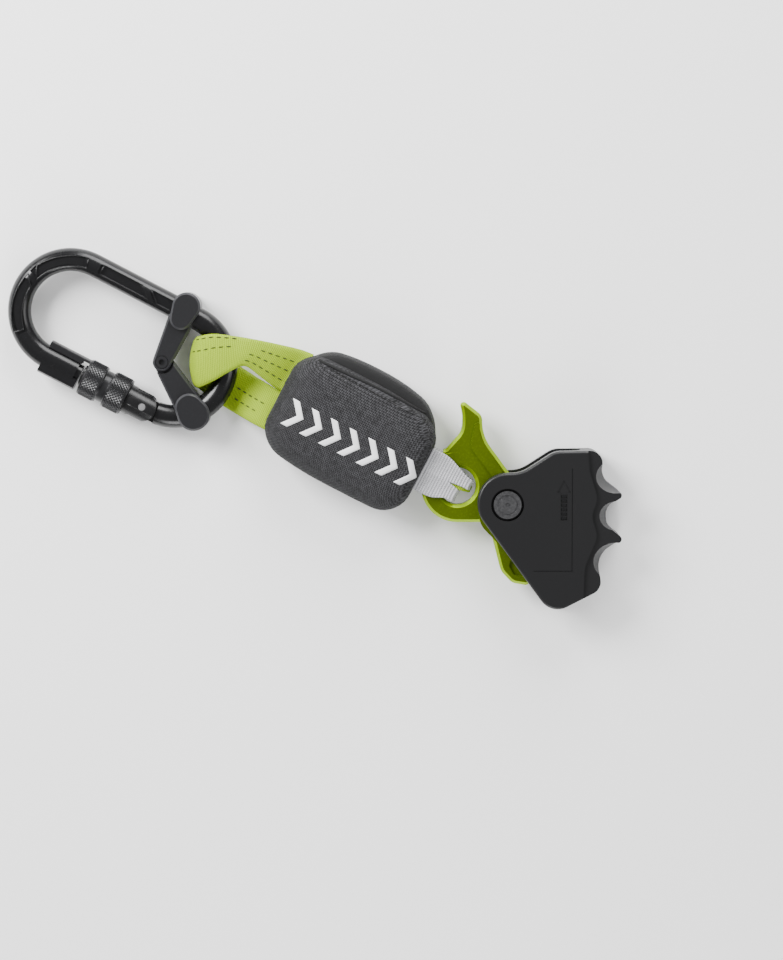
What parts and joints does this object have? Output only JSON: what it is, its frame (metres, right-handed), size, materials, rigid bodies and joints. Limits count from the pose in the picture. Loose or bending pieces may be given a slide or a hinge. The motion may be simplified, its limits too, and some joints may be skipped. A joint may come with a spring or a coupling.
{
  "type": "ascender",
  "caption": "Guided fall arrester for a rope: finger-grip housing, cam lever with eye and thumb horn, sewn absorber pouch with slings, and auto-lock connector.",
  "frame": {"origin": "on the rope channel's axis, level with the main axle", "axes": "+Y up the rope along the channel, +Z out of the front cover, the device lying on its back; the lanyard runs towards -X"},
  "size_m": [0.2744, 0.1611, 0.026],
  "materials": {
    "housing_black": "satin",
    "green_anodised": "satin",
    "black_anodised": "satin",
    "turned_steel": "satin",
    "spring_steel": "satin",
    "bronze_bush": "satin",
    "rivet_steel": "satin",
    "link_grey": "satin",
    "gate_dark": "satin",
    "sleeve_dark": "satin",
    "pouch_grey": "matte",
    "pouch_black": "matte",
    "webbing_grey": "matte",
    "webbing_green": "matte",
    "stitch_black": "matte",
    "print_white": "matte"
  },
  "bodies": {
    "housing": {"front_housing": "housing_black", "rope_channel": "turned_steel", "axle": "turned_steel", "axle_nut": "spring_steel", "stop_pin": "spring_steel", "cam_spring": "spring_steel", "button_spring": "spring_steel"},
    "rear_plate": {"rear_plate": "housing_black"},
    "button": {"axle_button": "turned_steel"},
    "cam_lever": {"cam_lever": "green_anodised", "cam_bushing": "bronze_bush"},
    "absorber": {"pouch_cover": "pouch_grey", "pouch_flap": "pouch_black", "tear_webbing_pack": "webbing_grey", "sling_grey": "webbing_grey", "sling_green_tail": "webbing_green"},
    "sling": {"sling_green": "webbing_green"},
    "connector": {"carabiner_frame": "black_anodised", "gate_pin": "rivet_steel", "link_upper": "link_grey", "link_lower": "link_grey", "link_screw": "link_grey", "link_nut": "spring_steel"},
    "gate": {"gate_body": "gate_dark", "gate_plunger": "rivet_steel", "gate_spring": "spring_steel", "sleeve_spring": "spring_steel", "retaining_clip": "spring_steel"},
    "sleeve_slider": {"sleeve_carrier": "gate_dark"},
    "lock_sleeve": {"lock_sleeve": "sleeve_dark"}
  },
  "joints": [
    {"name": "cam_pivot", "type": "hinge", "parent": "housing", "child": "cam_lever", "pos_m": [-0.0258, 0, 0], "axis": [0, 0, 1], "range_deg": [-20, 14]},
    {"name": "plate_swing", "type": "hinge", "parent": "housing", "child": "rear_plate", "pos_m": [-0.0258, 0, 0], "axis": [0, 0, 1], "range_deg": [-95, 0]},
    {"name": "button_press", "type": "slide", "parent": "housing", "child": "button", "axis": [0, 0, -1], "range_m": [0, 0.0012], "stiffness_N_per_m": 800, "springref_m": -0.0005, "deforming": ["button_spring"]},
    {"name": "absorber_swing", "type": "hinge", "parent": "cam_lever", "child": "absorber", "pos_m": [-0.048, 0.0079, 0], "axis": [0, 0, 1], "range_deg": [-12, 75]},
    {"name": "sling_flex", "type": "hinge", "parent": "absorber", "child": "sling", "pos_m": [-0.1296, 0.05038, 0.0007], "axis": [0.4617, 0.887, 0], "range_deg": [-40, 40]},
    {"name": "connector_flip", "type": "hinge", "parent": "sling", "child": "connector", "pos_m": [-0.15299, 0.05354, -0.0022], "axis": [0.4617, 0.887, 0], "range_deg": [-12, 12]},
    {"name": "gate_open", "type": "hinge", "parent": "connector", "child": "gate", "pos_m": [-0.18907, 0.04335, -0.0022], "axis": [0, 0, -1], "range_deg": [0, 26], "stiffness_Nm_per_rad": 0.1, "springref_deg": -11.46},
    {"name": "sleeve_slide", "type": "slide", "parent": "gate", "child": "sleeve_slider", "axis": [0.887, -0.4617, 0], "range_m": [0, 0.003], "stiffness_N_per_m": 300, "springref_m": -0.001, "deforming": ["sleeve_spring"]},
    {"name": "sleeve_twist", "type": "hinge", "parent": "sleeve_slider", "child": "lock_sleeve", "pos_m": [-0.20548, 0.05189, -0.0022], "axis": [0.887, -0.4617, 0], "range_deg": [0, 90], "stiffness_Nm_per_rad": 0.02, "springref_deg": -11.46}
  ]
}
